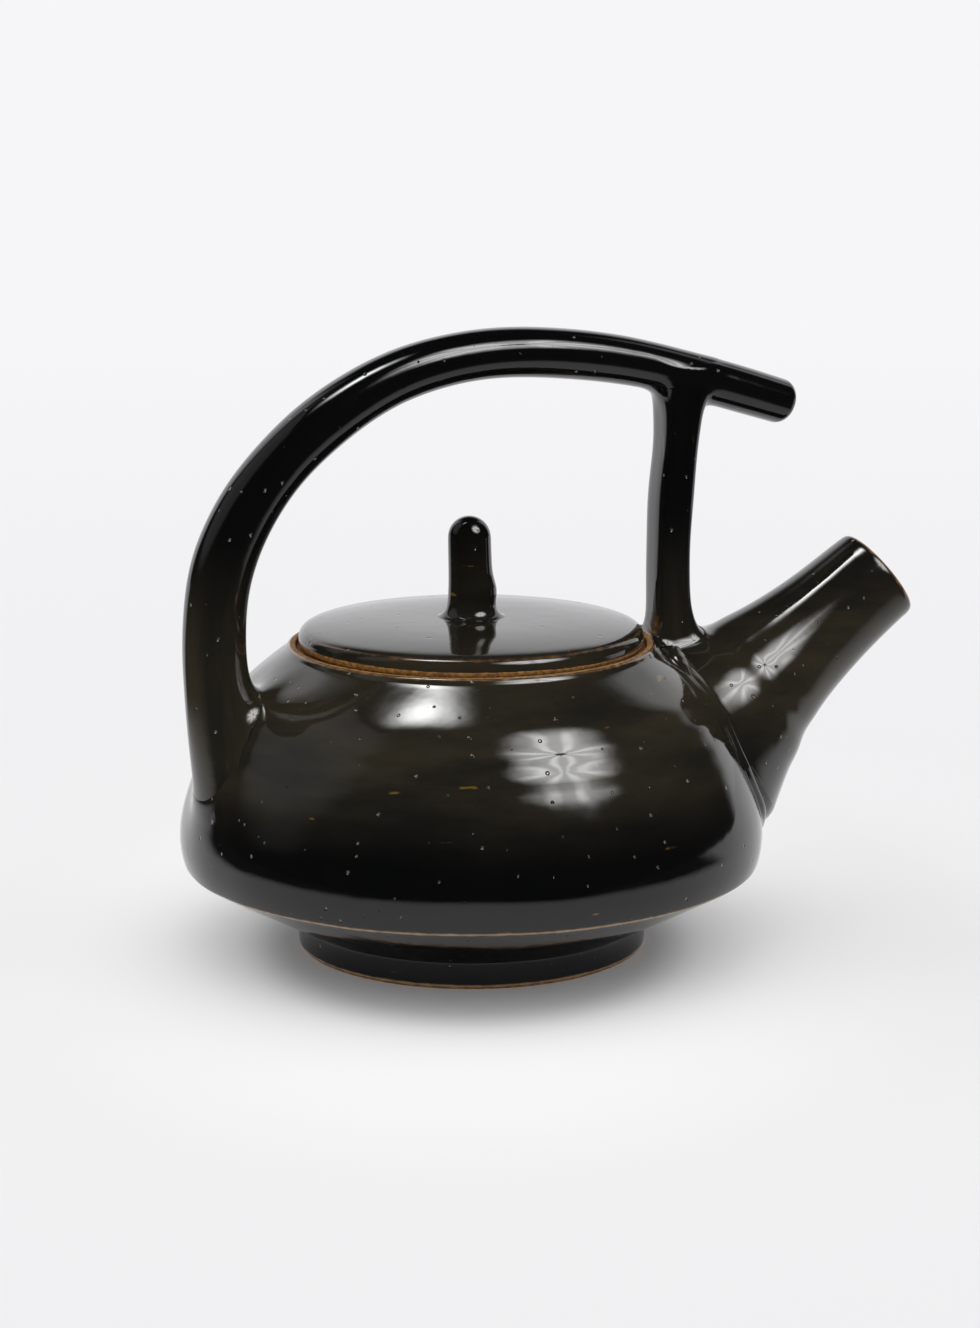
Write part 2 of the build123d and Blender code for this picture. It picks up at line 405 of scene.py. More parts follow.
def skin(name, grid, thin=None, bare=None, flow=None, ring=False, start=None, end=None):
    """Mesh of a grid[row, column, xyz] whose columns go round, with its faces turned outwards.

    ring joins the last row to the first.  start and end are points that close the two ends.
    thin and bare are numbers from 0 to 1 for each row, or for each point.  flow is the space
    in which streaks of the glaze are round, and on thrown parts it is squeezed around."""
    rows, columns = grid.shape[:2]
    points = [grid.reshape(-1, 3)]
    index = np.arange(rows * columns).reshape(rows, columns)
    low = index if ring else index[:-1]
    high = np.roll(index, -1, axis=0) if ring else index[1:]
    quads = np.stack((low, np.roll(low, -1, 1), np.roll(high, -1, 1), high), axis=-1).reshape(-1, 4)
    faces = quads.tolist()
    count = rows * columns
    for pole, row, flip in ((start, index[0], True), (end, index[-1], False)):
        if pole is not None:
            points.append(np.array([pole], float))
            after = np.roll(row, -1)
            fan = (after, row) if flip else (row, after)
            faces += np.stack((*fan, np.full(columns, count)), axis=-1).tolist()
            count += 1
    points = np.concatenate(points)
    a, b, c = (points[quads[:, k]] for k in (0, 1, 2))
    if np.einsum("ij,ij->i", a, np.cross(b, c)).sum() < 0:
        faces = [face[::-1] for face in faces]
    piece = plain_mesh(name, points.tolist(), faces)
    mesh = piece.data
    mesh.shade_smooth()
    for key, values in (("thin", thin), ("bare", bare)):
        layer = np.zeros(count)
        if values is not None:
            per_row = np.asarray(values, float)
            per_row = per_row[:, None] if per_row.ndim == 1 else per_row
            layer[:rows * columns] = np.broadcast_to(per_row, (rows, columns)).reshape(-1)
        mesh.attributes.new(key, "FLOAT", "POINT").data.foreach_set("value", layer.astype(np.float32))
    space = points * np.array([0.30, 0.30, 1.2])
    if flow is not None:
        space[:rows * columns] = flow.reshape(-1, 3)
    layer = mesh.attributes.new("flow", "FLOAT_VECTOR", "POINT").data
    layer.foreach_set("vector", space.astype(np.float32).ravel())
    print(name, len(faces), "faces")
    return piece


def smooth(value, low, high):
    """0 below low, 1 above high, and an easy slope between them."""
    t = np.clip((value - low) / (high - low), 0, 1)
    return t * t * (3 - 2 * t)


def bell(value, middle, width):
    """1 at the middle, and falling away on both sides as a bell curve of that width."""
    return np.exp(-(((value - middle) / width) ** 2))


def oval_ring(count, square):
    """Points round the oval |x|^n + |y|^n = 1, as the turn of each and its two directions."""
    turn = np.linspace(0, 2 * math.pi, count, endpoint=False)
    x, y = np.cos(turn), np.sin(turn)
    return turn, np.sign(x) * np.abs(x) ** (2 / square), np.sign(y) * np.abs(y) ** (2 / square)


def round_spout(count):
    """Directions square to the spout's axis, once round it."""
    turn = np.linspace(0, 2 * math.pi, count, endpoint=False)
    return np.cos(turn)[:, None] * spout_side + np.sin(turn)[:, None] * spout_up


# %% [markdown]
# ## The bowl
# One closed outline is turned: under the foot, up the flat cone to the sharp edge, over the
# belly to the rolled rim, down into the seat for the lid, and back along the inner wall.  The
# potter's fingers left rings on the belly.  They are real waves in the surface here, because a
# glossy glaze shows them only through what it mirrors.  The shallow band pressed in among them
# is not known from the pot.  It only draws the umbrella's reflection out to its length.

# %% Outline of the bowl
inner_line = belly_line[4:-14:6]
inner_way = heading(inner_line)
inner_line = inner_line + np.stack((-inner_way[:, 1], inner_way[:, 0]), axis=1) * wall
floor_top = foot_height + wall
bowl_outline = np.concatenate((
    [(0, foot_height), (foot_radius, foot_height)],
    belly_line,
    [(rim_radius + 0.1 * mm, rim_height - 0.9 * mm), (rim_radius - 0.7 * mm, rim_height),
     (seat_radius, rim_height), (seat_radius, rim_height - seat_depth),
     (throat_radius, rim_height - seat_depth), (throat_radius, rim_height - seat_depth - 3 * mm)],
    inner_line[::-1],
    [(foot_radius, floor_top), (0, floor_top)],
))
bowl_profile = even(melt(bowl_outline, 0.42 * mm), 270, turn=8 * mm)
radius, height = bowl_profile.T
row = np.arange(len(radius))
crest = row[np.argmax(height)]
outside = (row < crest) & (radius > foot_radius * 0.98) & (height < rim_height - 0.3 * mm)

# %% Turn the bowl and settle it against the spout and the handle
bowl_grid = lathe(bowl_profile, 480, crowd=0.35)
turned = bowl_grid[outside]
level = turned[..., 2]
angle = np.arctan2(turned[..., 1], turned[..., 0])
band_height = 60.8 * mm
band_width = 9.0 * mm
band_depth = 4.6
ring_pitch = 5.4 * mm
ring_size = 0.105 * mm
rings = -np.cos(2 * math.pi * (level - band_height) / ring_pitch + 0.25 * np.cos(angle))
rings = (rings - band_depth) * bell(level, band_height, band_width) + 2.0
rings = rings + 0.12 * np.sin(2 * math.pi * level / (4.9 * mm) + 0.4 * np.sin(angle))
fade = smooth(level, waist[1] - 4 * mm, waist[1] + 7 * mm)
fade = fade * smooth(rim_height - level, 7 * mm, 13 * mm)
outward = turned * np.array([1, 1, 0])
outward /= np.linalg.norm(outward, axis=-1, keepdims=True)
turned = turned + outward * (ring_size * rings * fade)[..., None]
bowl_grid[outside] = settle(turned, bowl_depth, 0.06 * mm)

rim_top = (radius > throat_radius - 1 * mm) & (radius < rim_radius - 0.75 * mm)
rim_top = rim_top & (height > rim_height - 3 * mm)
bowl_bare = smooth(rim_radius - radius, 0.45 * mm, 0.75 * mm) * rim_top
edge_thin = 0.95 * bell(height, edge[1], 0.45 * mm) * (row < crest)
rim_thin = 0.7 * bell(radius, rim_radius - 0.5 * mm, 0.3 * mm) * (height > rim_height - 1 * mm)
bowl_thin = np.maximum(edge_thin, rim_thin)
bowl = skin("bowl", bowl_grid[1:-1], bowl_thin[1:-1], bowl_bare[1:-1],
            start=(0, 0, foot_height), end=(0, 0, floor_top))

# %% Bore the pour hole through the wall, behind the spout
drill_line = np.array([(pour_hole, 36 * mm), (pour_hole, 74 * mm)])
drill_around = round_spout(48)
drill_grid = (spout_lip + drill_line[:, 1, None, None] * spout_back
              + drill_line[:, 0, None, None] * drill_around[None])
drill = skin("drill", drill_grid, start=spout_lip + 36 * mm * spout_back,
             end=spout_lip + 74 * mm * spout_back)
cut = bowl.modifiers.new("pour hole", "BOOLEAN")
cut.operation = "DIFFERENCE"
cut.solver = "EXACT"
cut.object = drill
bpy.context.view_layer.update()
drilled = bpy.data.meshes.new_from_object(bowl.evaluated_get(bpy.context.evaluated_depsgraph_get()))
bowl.modifiers.clear()
bowl.data = drilled
bpy.data.objects.remove(drill)
print("bowl after the pour hole", len(drilled.polygons), "faces")

# %% [markdown]
# ## The foot ring
# The foot is trimmed from the base and stays a ring.  Its underside is wiped clean, because
# glaze would stick the pot to the kiln shelf, so a line of bare clay shows along the bottom.

# %% Turn the foot ring
foot_outline = np.array([
    (foot_radius - foot_width, 0.0),
    (foot_radius - 1.2 * mm, 0.0),
    (foot_radius - 0.4 * mm, 0.8 * mm),
    (foot_radius, foot_height + 0.3 * mm),
    (foot_radius - foot_width, foot_height + 0.3 * mm),
    (foot_radius - foot_width, 0.0),
])
middle = foot_outline[:1] * 0.5 + foot_outline[1:2] * 0.5
foot_outline = np.concatenate((middle, foot_outline[1:-1], foot_outline[:1], middle))
foot_profile = even(melt(foot_outline, 0.3 * mm, closed=True), 90, turn=3 * mm)[:-1]
foot_bare = smooth(0.9 * mm - foot_profile[:, 1], 0, 0.5 * mm)
foot_thin = bell(foot_profile[:, 1], 1.0 * mm, 0.35 * mm)
foot = skin("foot", lathe(foot_profile, 360), foot_thin, foot_bare, ring=True)

# %% [markdown]
# ## The spout
# The spout is a horn thrown upside down, so it is a surface of revolution about its own tilted
# axis.  Its outline runs out along the skin, round the lip and back down the bore.  Where it
# meets the bowl it is settled like every other part.

# %% Turn the spout about its own axis
bore_line = horn_line[horn_line[:, 0] < 62 * mm]
bore_line[:, 1] -= spout_wall
bore_line = bore_line[::2]
outer_line = horn_line[horn_line[:, 0] > 0.2 * mm]
lip_line = np.array([(0.0, 12.3 * mm), (0.0, 10.7 * mm)])
spout_outline = np.concatenate((outer_line[::-1], lip_line, bore_line[bore_line[:, 0] > 0.5 * mm]))
spout_outline = np.concatenate((spout_outline, spout_outline[:1]))
spout_profile = even(melt(spout_outline, 0.85 * mm, closed=True), 210, turn=5 * mm)[:-1]
spout_along, spout_radius = spout_profile.T
skin_radius = np.interp(spout_along, horn_line[:, 0], horn_line[:, 1])
spout_outside = (spout_radius > skin_radius - 0.4 * mm) & (spout_along > 3 * mm)
join_along = 46.5 * mm
join_width = 5.5 * mm
join_size = 0.38 * mm
join = np.sin(2.2 * (spout_along - join_along) / join_width) * bell(spout_along, join_along, join_width)
spout_radius = spout_radius + join_size * join * spout_outside
spout_around = round_spout(300)
spout_grid = (spout_lip + spout_along[:, None, None] * spout_back
              + spout_radius[:, None, None] * spout_around[None])
spout_grid[spout_outside] = settle(spout_grid[spout_outside], horn_depth, 0.11 * mm)
hidden = spout_grid[~spout_outside]
spout_grid[~spout_outside] = out_of_hollow(hidden.reshape(-1, 3)).reshape(hidden.shape)
spout_thin = 0.75 * smooth(1.6 * mm - spout_along, 0, 1.2 * mm)
spout = skin("pouring_spout", spout_grid, spout_thin, ring=True)

# %% [markdown]
# A roll of clay was pressed along the seam, with a groove left on either side of it.  Seen in
# section, the seam lives in a plane of two depths, one below the bowl's skin and one below the
# spout's.  The roll is a small circle there, joined to both skins by a soft union.  Newton
# steps then find the point in space that has each pair of depths.

# %% Press the roll along the spout's seam
def seam_line(count):
    """Closed line where the two skins meet, found by halving the way along the spout."""
    around = round_spout(count)
    near, far = np.full(count, 20 * mm), np.full(count, 73 * mm)
    for _ in range(40):
        middle = (near + far) / 2
        size = np.interp(middle, horn_line[:, 0], horn_line[:, 1])
        points = spout_lip + middle[:, None] * spout_back + size[:, None] * around
        inside = bowl_depth(points) < 0
        near, far = np.where(inside, near, middle), np.where(inside, middle, far)
    return points


def roll_section(count):
    """Closed section of the roll in (bowl depth, spout depth): over the skin, back inside."""
    fan = np.radians(np.linspace(-5, 96, 300))
    way = np.stack((np.cos(fan), np.sin(fan)), axis=1)
    centre = np.array([-0.9, -0.9]) * mm
    low, high = np.zeros(300), np.full(300, 4.5 * mm)
    for _ in range(40):
        middle = (low + high) / 2
        a, b = (centre + middle[:, None] * way).T
        circle = np.hypot(a - 0.15 * mm, b - 1.35 * mm) - 1.15 * mm
        inside = union(union(a, b, seam_reach), circle, 0.9 * mm) < 0
        low, high = np.where(inside, middle, low), np.where(inside, high, middle)
    return even(centre + high[:, None] * way, count)


def at_depths(points, wanted):
    """Move points the shortest way to where the bowl's and the spout's depths are as wanted."""
    for _ in range(12):
        slopes = np.stack((climb(bowl_depth, points), climb(horn_depth, points)), axis=1)
        miss = wanted - np.stack((bowl_depth(points), horn_depth(points)), axis=1)
        gram = slopes @ slopes.transpose(0, 2, 1) + 1e-3 * np.eye(2)
        move = (slopes.transpose(0, 2, 1) @ np.linalg.solve(gram, miss[..., None]))[..., 0]
        far = np.maximum(np.linalg.norm(move, axis=1) / (0.8 * mm), 1)
        points = points + move / far[:, None]
    return points


seam = seam_line(480)
section = roll_section(44)
section = np.concatenate((section, np.array([[-0.9, 0.0], [-0.9, -0.9]]) * mm))
seam_turn = np.linspace(0, 2 * math.pi, len(seam), endpoint=False)
press = 1 + 0.10 * np.sin(5 * seam_turn + 1) + 0.07 * np.sin(13 * seam_turn)
wanted = press[:, None, None] * section[None]
seam_points = np.repeat(seam[:, None], len(section), axis=1)
seam_grid = at_depths(seam_points.reshape(-1, 3), wanted.reshape(-1, 2))
seam_grid = jitter(seam_grid, 0.06 * mm).reshape(seam_points.shape)
roll = skin("seam_roll", seam_grid, ring=True)

# %% [markdown]
# ## The handle
# A strap of clay is pulled by hand, bent into an arch and pressed on while it is soft.  Its
# section is an oval that is carried along the path and turned to stay square to it.  The free
# end beyond the strut is cut and rounded off with a wet finger.

# %% Carry the oval along the handle's path
strap_rows = 300
strap_at = np.linspace(0, 1, strap_rows)
strap_length = np.linalg.norm(np.diff(strap_line, axis=0), axis=1).sum()
cap_round = 2.6 * mm
to_end = (1 - strap_at) * strap_length
cap_rows = 14
cap_turn = np.linspace(0, math.pi / 2, cap_rows)
body_rows = to_end > cap_round
cap_to_end = cap_round * (1 - np.sin(cap_turn))
all_at = np.concatenate((strap_at[body_rows], 1 - cap_to_end / strap_length))
inset = np.concatenate((np.zeros(body_rows.sum()), cap_round * (1 - np.cos(cap_turn))))
path_at = read(strap_line, strap_share, all_at)
way_at = read(strap_way, strap_share, all_at)
wide_at = np.interp(all_at, strap_share, strap_wide) - inset
thick_at = np.interp(all_at, strap_share, strap_thick) - inset
cap_steps = np.linspace(1, 0.12, 5)[1:]
path_at, way_at = (np.concatenate((line, np.repeat(line[-1:], 4, axis=0))) for line in (path_at, way_at))
wide_at, thick_at = (np.append(half, half[-1] * cap_steps) for half in (wide_at, thick_at))
oval_turn, oval_across, oval_up = oval_ring(120, strap_square)
path_points = handle_root + path_at[:, :1] * handle_out + path_at[:, 1:] * np.array([0, 0, 1.0])
path_normal = -way_at[:, 1:] * handle_out + way_at[:, :1] * np.array([0, 0, 1.0])
strap_grid = (path_points[:, None]
              + (wide_at[:, None] * oval_across)[..., None] * handle_side
              + (thick_at[:, None] * oval_up)[..., None] * path_normal[:, None])
strap_grid = settle(strap_grid, strap_depth, 0.14 * mm)
rows_all = len(strap_grid)
cap_start = int(body_rows.sum())
top_line = bell(oval_turn, math.pi / 2, 0.35)
strap_thin = 0.34 * smooth(np.arange(rows_all), cap_start - 26, cap_start - 6)[:, None] * top_line
ring_line = np.zeros(rows_all)
ring_line[cap_start:cap_start + cap_rows] = 0.5 * np.sin(2 * cap_turn) ** 2
ring_share = 0.4 + 0.6 * smooth(np.sin(oval_turn), -0.6, 0.6)
strap_thin = np.maximum(strap_thin, ring_line[:, None] * ring_share)
strap_flow = np.stack(np.broadcast_arrays(
    1.3 * wide_at[:, None] * oval_across, 1.3 * thick_at[:, None] * oval_up,
    0.16 * strap_length * np.append(all_at, [1, 1, 1, 1])[:, None]), axis=-1)
handle = skin("overhead_handle", strap_grid, strap_thin, flow=strap_flow,
              start=strap_grid[0].mean(axis=0), end=strap_grid[-1].mean(axis=0))

# %% [markdown]
# ## The strut
# The strut is a flatter strap.  Its sections are level, rounded oblongs, wide under the arch and
# narrow at the waist, and they spread again over the root of the spout.

# %% Stack the strut's sections
strut_heights = np.linspace(strut_line[0, 0], strut_line[-1, 0], 130)
strut_thick, strut_wide, centre = read(strut_line, strut_line[:, 0], strut_heights).T[1:]
strut_out, strut_across = oval_ring(112, strut_square)[1:]
strut_x = centre[:, None] + strut_thick[:, None] / 2 * strut_out
strut_y = strut_wide[:, None] / 2 * strut_across
strut_z = np.broadcast_to(strut_heights[:, None], strut_x.shape)
strut_grid = np.stack((strut_x, strut_y, strut_z), axis=-1)
strut_flow = strut_grid * np.array([1.3, 1.3, 0.16])
strut_grid = settle(strut_grid, strut_depth, 0.1 * mm)
wiped = np.array([46.3, -4.6, 82.0]) * mm
strut_thin = 1.15 * bell(np.linalg.norm(strut_grid - wiped, axis=-1), 0, 3.0 * mm)
strut = skin("handle_prop", strut_grid, strut_thin, flow=strut_flow,
             start=strut_grid[0].mean(axis=0), end=strut_grid[-1].mean(axis=0))

# %% [markdown]
# ## The lid
# The lid is a slightly domed disc with a post to hold it by, and a flange that stops it from
# falling out when the pot is tipped.  All three are turned.

# %% Turn the lid's disc, its knob and its flange
lid_radius = disc_high.x
lid_bottom = disc_low.z
lid_edge = 5.4 * mm
lid_hollow = 2.6 * mm
collar_wall = 3.8 * mm
collar_taper = 0.7 * mm
lid_shoulder = lid_bottom + lid_edge
lid_crown = disc_high.z
hollow_radius = flange_high.x - collar_wall
dome_radius = np.linspace(lid_radius, 0, 40)
dome_height = lid_crown - (lid_crown - lid_shoulder) * (dome_radius / lid_radius) ** 3.6
disc_outline = np.concatenate((
    [(0, lid_bottom + lid_hollow), (hollow_radius, lid_bottom + lid_hollow),
     (hollow_radius, lid_bottom), (lid_radius, lid_bottom)],
    np.stack((dome_radius, dome_height), axis=1),
))
disc_profile = even(melt(disc_outline, 2.0 * mm), 130, turn=6 * mm)
disc_thin = 0.45 * bell(disc_profile[:, 0], lid_radius - 1.2 * mm, 0.5 * mm)
disc_thin = disc_thin * (disc_profile[:, 1] > lid_bottom + 3 * mm)
disc_grid = lathe(disc_profile, 360)
wipe_high = lid_bottom + seat_depth + 0.75 * mm - 0.4 * mm * disc_grid[..., 0] / lid_radius
disc_bare = smooth(wipe_high - disc_grid[..., 2], 0, 0.35 * mm)
disc_bare = disc_bare * (disc_profile[:, 0] > hollow_radius)[:, None]
disc = skin("lid_plate", disc_grid[1:-1], disc_thin[1:-1], disc_bare[1:-1],
            start=(0, 0, lid_bottom + lid_hollow), end=(0, 0, lid_crown))

knob_top = knob_high.z
knob_round = 5.4 * mm
knob_root = lid_crown - 1.2 * mm
knob_outline = np.concatenate((
    [(0, knob_root), (9.6 * mm, lid_crown - 0.9 * mm)],
    spline([(9.2 * mm, lid_crown - 0.12 * mm), (7.0 * mm, lid_crown + 1.1 * mm),
            (5.95 * mm, lid_crown + 4.6 * mm), (5.6 * mm, lid_crown + 12 * mm),
            (5.5 * mm, knob_top - knob_round)], 40, start=(-1, 0.05)),
    [(5.45 * mm * math.cos(a), knob_top - knob_round + knob_round * math.sin(a))
     for a in np.linspace(0.1, math.pi / 2, 24)],
))
knob_profile = even(melt(knob_outline, 0.35 * mm), 120, turn=3 * mm)
knob_grid = lathe(knob_profile, 120)
knob_lump = bell(knob_grid[..., 2], lid_crown + 7 * mm, 3.2 * mm)
knob_side = np.maximum(knob_grid @ np.array([0.93, -0.36, 0.0]), 0)
knob_grid = knob_grid * (1 + 25 * (knob_lump * knob_side)[..., None] * np.array([1.0, 1.0, 0.0]))
lift = smooth(knob_grid[..., 2], lid_crown, knob_top)
knob_grid = knob_grid + lift[..., None] * np.array([-0.5, 0.0, 0.0]) * mm
knob = skin("lid_post", knob_grid[1:-1], start=(0, 0, knob_root),
            end=(-0.5 * mm, 0, knob_top))

flange_outline = np.array([
    (hollow_radius, lid_bottom + 0.1 * mm),
    (hollow_radius, flange_low.z),
    (flange_high.x - collar_taper, flange_low.z),
    (flange_high.x, lid_bottom + 0.1 * mm),
])
middle = flange_outline[:1] * 0.5 + flange_outline[-1:] * 0.5
flange_outline = np.concatenate((middle, flange_outline, middle))
flange_profile = even(melt(flange_outline, 0.4 * mm, closed=True), 60, turn=3 * mm)[:-1]
flange = skin("lid_collar", lathe(flange_profile, 240), bare=np.ones(len(flange_profile)), ring=True)

# %% [markdown]
# ## The glaze
# The glaze is a deep iron glaze: very dark, olive brown where light gets into it, rust and tan
# where it drew back from an edge.  Its colour is also painted nearly black towards the foot and
# the top, which is painted shade.  Two node groups hold what repeats.
# `iron_glaze` mixes the colours from a slow drift, specks and the two numbers that the meshes
# carry.  `glaze_skin` makes the height of the surface: a faint orange peel and pinholes.

# %% Helpers for node groups
def group(name, inputs, outputs):
    """New node group with its sockets, and the nodes at its two ends."""
    tree = bpy.data.node_groups.new(name, "ShaderNodeTree")
    for title, kind, value in inputs:
        made = tree.interface.new_socket(title, in_out="INPUT", socket_type=kind)
        if value is not None:
            made.default_value = value
    for title, kind in outputs:
        tree.interface.new_socket(title, in_out="OUTPUT", socket_type=kind)
    entry = tree.nodes.new("NodeGroupInput")
    leave = tree.nodes.new("NodeGroupOutput")
    return tree, entry, leave


def fill(tree, target, value):
    """Set an input to a value, or link another node's output to it."""
    if isinstance(value, bpy.types.NodeSocket):
        tree.links.new(value, target)
    else:
        target.default_value = value


def node(tree, kind, links=None, **settings):
    """Add a node, set its properties, and fill its inputs with numbers or with other outputs."""
    made = tree.nodes.new(kind)
    for key, value in settings.items():
        setattr(made, key, value)
    for key, value in (links or {}).items():
        fill(tree, made.inputs[key], value)
    return made


def ramp(tree, source, low, high):
    """0 to 1 while the source goes from low to high."""
    links = {"Value": source, "From Min": low, "From Max": high}
    return node(tree, "ShaderNodeMapRange", links, interpolation_type="SMOOTHSTEP").outputs["Result"]


def blend(tree, share, first, second):
    """Mix two colours by a share."""
    made = node(tree, "ShaderNodeMix", data_type="RGBA")
    for key, value in (("Factor_Float", share), ("A_Color", first), ("B_Color", second)):
        fill(tree, next(s for s in made.inputs if s.identifier == key), value)
    return next(s for s in made.outputs if s.identifier == "Result_Color")


def reckon(tree, operation, *values):
    """One step of arithmetic on numbers or outputs."""
    return node(tree, "ShaderNodeMath", dict(enumerate(values)), operation=operation).outputs[0]


def product(tree, first, *others):
    """Numbers multiplied together."""
    for other in others:
        first = reckon(tree, "MULTIPLY", first, other)
    return first


def span(tree, value, to_low, to_high=1.0, low=0.0, high=1.0):
    """A number carried in a straight line from low..high to to_low..to_high."""
    links = {"Value": value, "From Min": low, "From Max": high, "To Min": to_low, "To Max": to_high}
    return node(tree, "ShaderNodeMapRange", links).outputs["Result"]


def noise(tree, place, scale, detail, roughness=0.5):
    """Soft noise round 0.5, in patches that get smaller as the scale grows."""
    links = {"Vector": place, "Scale": scale, "Detail": detail, "Roughness": roughness}
    return node(tree, "ShaderNodeTexNoise", links).outputs["Fac"]


def cell_spots(tree, place):
    """Distance from the middle of the nearest cell, and that cell's own number from 0 to 1."""
    cells = node(tree, "ShaderNodeTexVoronoi", {"Vector": place, "Scale": 230.0})
    lot = node(tree, "ShaderNodeSeparateColor", {"Color": cells.outputs["Color"]}).outputs["Red"]
    return cells.outputs["Distance"], lot


def along(tree, place, axis):
    """How far a place lies along an axis."""
    links = {0: place, 1: tuple(axis)}
    return node(tree, "ShaderNodeVectorMath", links, operation="DOT_PRODUCT").outputs["Value"]


def reach_of(tree, place):
    """Length of a vector."""
    return node(tree, "ShaderNodeVectorMath", {0: place}, operation="LENGTH").outputs["Value"]


def mix_shaders(tree, share, first, second):
    """Mix two shaders by a share."""
    return node(tree, "ShaderNodeMixShader", {0: share, 1: first.outputs[0], 2: second.outputs[0]})


# %% Node group: the glaze's colours
def make_iron_glaze():
    """Colours of the glaze and of the clay under it, and how rough each is."""
    tree, entry, leave = group(
        "iron_glaze",
        [("Place", "NodeSocketVector", None), ("Flow", "NodeSocketVector", None),
         ("Thin", "NodeSocketFloat", 0.0), ("Bare", "NodeSocketFloat", 0.0)],
        [("Color", "NodeSocketColor"), ("Roughness", "NodeSocketFloat")],
    )
    place = entry.outputs["Place"]
    flow = entry.outputs["Flow"]
    olive = ramp(tree, noise(tree, flow, 70.0, 5.0, 0.6), 0.30, 0.72)
    glaze = blend(tree, olive, (0.012, 0.011, 0.0085, 1), (0.030, 0.025, 0.0155, 1))
    height = node(tree, "ShaderNodeSeparateXYZ", {"Vector": place}).outputs["Z"]
    # Painted shade: the glaze's colour darkens to near black from 60 mm down to 37 mm, and from 72 mm up to
    # 115 mm.
    ends = reckon(tree, "ADD", ramp(tree, height, 0.060, 0.037), ramp(tree, height, 0.072, 0.115))
    glaze = blend(tree, product(tree, ends, 0.93), glaze, (0.0012, 0.0015, 0.0021, 1))
    gold = ramp(tree, noise(tree, flow, 330.0, 2.0), 0.735, 0.79)
    glaze = blend(tree, product(tree, gold, 0.8), glaze, (0.13, 0.085, 0.012, 1))
    distance, lot = cell_spots(tree, place)
    speck = product(tree, ramp(tree, distance, 0.085, 0.045), ramp(tree, lot, 0.3, 0.7))
    glaze = blend(tree, product(tree, speck, 0.75), glaze, (0.17, 0.165, 0.14, 1))
    fray = reckon(tree, "MULTIPLY_ADD", noise(tree, place, 420.0, 3.0), 0.9, -0.45)
    thin = reckon(tree, "ADD", entry.outputs["Thin"], fray)
    rust = ramp(tree, thin, 0.18, 0.55)
    glaze = blend(tree, rust, glaze, (0.085, 0.045, 0.018, 1))
    tan = ramp(tree, thin, 0.50, 0.95)
    glaze = blend(tree, tan, glaze, (0.26, 0.18, 0.105, 1))
    grain = ramp(tree, noise(tree, place, 900.0, 3.0), 0.35, 0.7)
    clay = blend(tree, grain, (0.18, 0.068, 0.008, 1), (0.38, 0.175, 0.025, 1))
    bare = ramp(tree, reckon(tree, "ADD", entry.outputs["Bare"], fray), 0.35, 0.65)
    tree.links.new(blend(tree, bare, glaze, clay), leave.inputs["Color"])
    gloss = span(tree, noise(tree, place, 70.0, 2.0), 0.045, 0.10, low=0.3, high=0.7)
    tree.links.new(span(tree, bare, gloss, 0.75), leave.inputs["Roughness"])
    return tree


# %% Node group: the glaze's surface
def make_glaze_skin():
    """Height of the surface in millimetres: slow orange peel, and pinholes that go in."""
    tree, entry, leave = group(
        "glaze_skin",
        [("Place", "NodeSocketVector", None), ("Bare", "NodeSocketFloat", 0.0)],
        [("Height", "NodeSocketFloat")],
    )
    place = entry.outputs["Place"]
    peel = product(tree, noise(tree, place, 160.0, 2.0, 0.4), 0.045)
    distance, lot = cell_spots(tree, place)
    share = reckon(tree, "DIVIDE", distance, span(tree, lot, 0.05, 0.15))
    pit = product(tree, ramp(tree, share, 1.0, 0.35), -0.25)
    total = reckon(tree, "ADD", peel, pit)
    grit = product(tree, noise(tree, place, 1400.0, 3.0), entry.outputs["Bare"])
    rough = reckon(tree, "MULTIPLY_ADD", grit, 0.25, total)
    tree.links.new(rough, leave.inputs["Height"])
    return tree


iron_glaze = make_iron_glaze()
glaze_skin = make_glaze_skin()

# %% Material: glazed and bare stoneware
def stoneware(name):
    """Glossy dark glaze that gives way to bare clay where the mesh says so."""
    material = bpy.data.materials.new(name)
    material.use_nodes = True
    tree = material.node_tree
    shader = tree.nodes["Principled BSDF"]
    shader.inputs["IOR"].default_value = 1.49
    place = node(tree, "ShaderNodeTexCoord").outputs["Object"]
    thin = node(tree, "ShaderNodeAttribute", attribute_name="thin").outputs["Fac"]
    bare = node(tree, "ShaderNodeAttribute", attribute_name="bare").outputs["Fac"]
    colours = node(tree, "ShaderNodeGroup", node_tree=iron_glaze)
    relief = node(tree, "ShaderNodeGroup", node_tree=glaze_skin)
    for target in (colours, relief):
        tree.links.new(place, target.inputs["Place"])
        tree.links.new(bare, target.inputs["Bare"])
    flow = node(tree, "ShaderNodeAttribute", attribute_name="flow").outputs["Vector"]
    tree.links.new(flow, colours.inputs["Flow"])
    tree.links.new(thin, colours.inputs["Thin"])
    tree.links.new(colours.outputs["Color"], shader.inputs["Base Color"])
    tree.links.new(colours.outputs["Roughness"], shader.inputs["Roughness"])
    bump_links = {"Strength": 1.0, "Distance": mm, "Height": relief.outputs["Height"]}
    bump = node(tree, "ShaderNodeBump", bump_links)
    tree.links.new(bump.outputs["Normal"], shader.inputs["Normal"])
    return material


glaze_material = stoneware("iron_glazed_stoneware")

# %% Dress the parts and fix them to their bodies
dressed = [
    (bowl, "pot", ["pot_body"], "dark_glaze"),
    (foot, "pot", ["foot_ring"], "dark_glaze"),
    (spout, "pot", ["spout"], "dark_glaze"),
    (roll, "pot", ["spout"], "dark_glaze"),
    (handle, "pot", ["handle_arch"], "dark_glaze"),
    (strut, "pot", ["handle_strut"], "dark_glaze"),
    (disc, "lid", ["lid_disc"], "dark_glaze"),
    (knob, "lid", ["lid_knob"], "dark_glaze"),
    (flange, "lid", ["lid_flange"], "bare_clay"),
]
for piece, body, nodes, slot in dressed:
    piece.data.materials.clear()
    piece.data.materials.append(glaze_material)
    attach(piece, body)
    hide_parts(*nodes)
